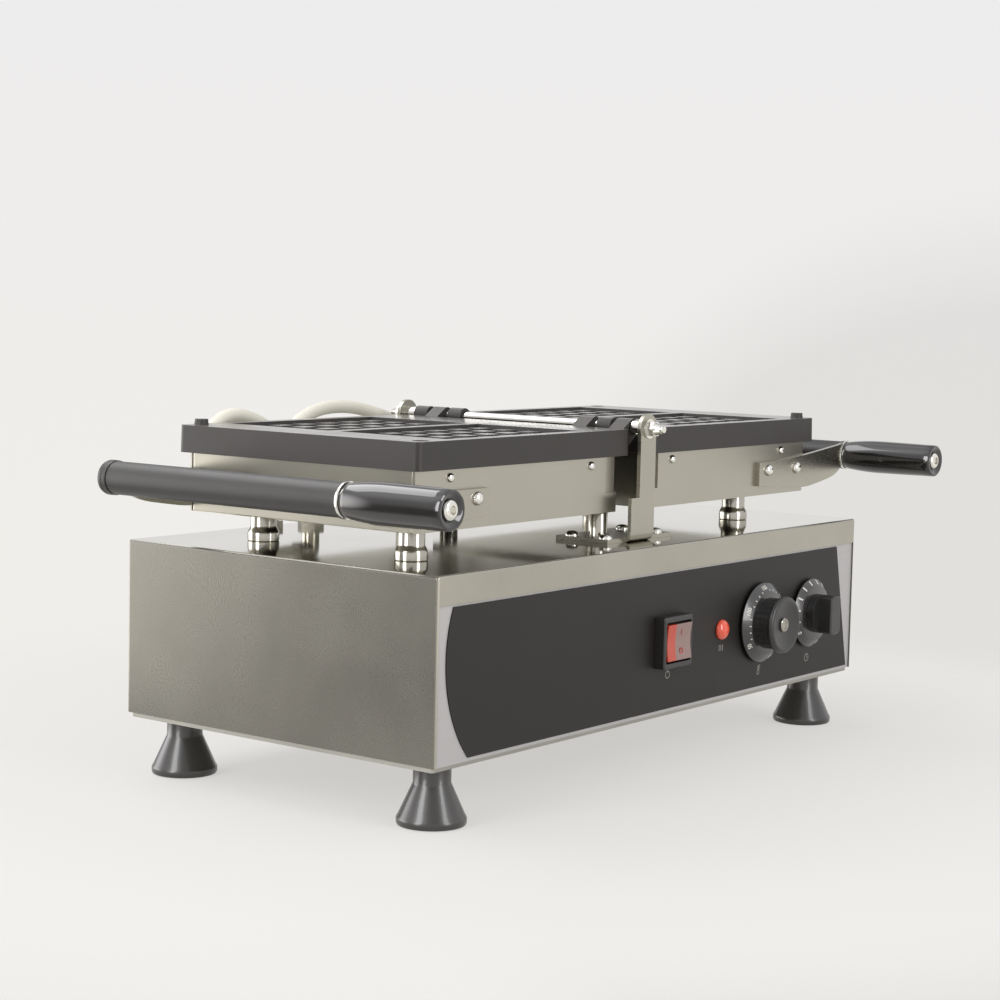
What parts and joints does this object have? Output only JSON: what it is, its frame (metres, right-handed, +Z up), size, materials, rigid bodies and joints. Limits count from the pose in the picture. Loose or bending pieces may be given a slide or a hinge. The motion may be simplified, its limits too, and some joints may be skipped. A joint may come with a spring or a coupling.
{
  "type": "rotating waffle maker",
  "caption": "Countertop waffle maker: steel cabinet on conical feet, cast grid plates hinged side by side that fold over each other and turn, with front knobs and rocker switch.",
  "frame": {"origin": "centre of the bounding box in plan, on the surface that the feet stand on", "axes": "+X along the front to the operator's right, +Y away from the operator, +Z up"},
  "size_m": [0.6464, 0.3346, 0.254],
  "materials": {
    "cabinet_steel": "satin brushed stainless steel",
    "panel_steel": "satin stainless steel",
    "overlay_film": "dark matt film",
    "polished_steel": "polished",
    "bracket_steel": "polished sheet",
    "foot_rubber": "black moulded, slightly glossy",
    "screw_steel": "zinc plated",
    "nickel": "nickel plated brass",
    "conduit_sheath": "silver-beige sheath",
    "black_moulding": "black moulded",
    "knob_moulding": "black moulded, olive sheen",
    "rocker_red": "translucent red",
    "lamp_red": "translucent red",
    "control_metal": "plated case",
    "terminal_moulding": "white moulded",
    "cast_iron": "seasoned, land ground bright",
    "housing_steel": "satin stainless steel",
    "arm_steel": "satin stainless steel",
    "element_steel": "heat darkened",
    "mineral_mat": "mineral fibre",
    "handle_black": "matt black sleeve",
    "grip_gloss": "polished phenolic"
  },
  "bodies": {
    "base": {"cabinet_cover": "cabinet_steel", "front_panel": "panel_steel", "control_overlay": "overlay_film", "bottom_pan": "cabinet_steel", "rear_panel": "cabinet_steel", "mains_inlet": "black_moulding", "feet": "foot_rubber", "foot_screws": "screw_steel", "rest_posts": "polished_steel", "hinge_brackets": "bracket_steel", "bracket_bolts": "polished_steel", "support_studs": "polished_steel", "hinge_shaft": "polished_steel", "shaft_spacers": "polished_steel", "shaft_nuts": "polished_steel", "deck_fittings": "nickel", "left_conduit": "conduit_sheath", "right_conduit": "conduit_sheath", "switch_body": "black_moulding", "indicator_lamp": "lamp_red", "thermostat": "control_metal", "timer_body": "control_metal", "terminal_block": "terminal_moulding"},
    "left_plate": {"left_grid_plate": "cast_iron", "left_housing": "housing_steel", "left_housing_covers": "housing_steel", "left_housing_screws": "polished_steel", "left_heater": "element_steel", "left_clamp_plate": "element_steel", "left_insulation": "mineral_mat", "left_handle_arms": "arm_steel", "left_handle_rod": "polished_steel", "left_handle_sleeve": "handle_black", "left_handle_ring": "polished_steel", "left_handle_grip": "grip_gloss", "left_handle_screw": "polished_steel", "left_conduit_elbow": "nickel"},
    "right_plate": {"right_grid_plate": "cast_iron", "right_housing": "housing_steel", "right_housing_covers": "housing_steel", "right_housing_screws": "polished_steel", "right_heater": "element_steel", "right_clamp_plate": "element_steel", "right_insulation": "mineral_mat", "right_handle_arms": "arm_steel", "right_handle_rod": "polished_steel", "right_handle_sleeve": "handle_black", "right_handle_ring": "polished_steel", "right_handle_grip": "grip_gloss", "right_handle_screw": "polished_steel", "right_conduit_elbow": "nickel"},
    "temperature_knob": {"temperature_dial": "black_moulding", "temperature_grip": "knob_moulding", "temperature_cap": "polished_steel"},
    "timer_knob": {"timer_dial": "black_moulding", "timer_grip": "black_moulding"},
    "power_rocker": {"switch_rocker": "rocker_red"}
  },
  "joints": [
    {"name": "left_plate_swing", "type": "hinge", "parent": "base", "child": "left_plate", "pos_m": [0, 0.01635, 0.24355], "axis": [0, 1, 0], "range_deg": [0, 180], "deforming": ["left_conduit"]},
    {"name": "right_plate_swing", "type": "hinge", "parent": "base", "child": "right_plate", "pos_m": [0, 0.01635, 0.24355], "axis": [0, -1, 0], "range_deg": [0, 180], "deforming": ["right_conduit"]},
    {"name": "temperature_turn", "type": "hinge", "parent": "base", "child": "temperature_knob", "pos_m": [0.121, -0.12365, 0.095], "axis": [0, 1, 0], "range_deg": [0, 270]},
    {"name": "timer_turn", "type": "hinge", "parent": "base", "child": "timer_knob", "pos_m": [0.194, -0.12365, 0.095], "axis": [0, 1, 0], "range_deg": [0, 300]},
    {"name": "power_rock", "type": "hinge", "parent": "base", "child": "power_rocker", "pos_m": [-0.004, -0.12425, 0.095], "axis": [1, 0, 0], "range_deg": [-8, 8]}
  ]
}
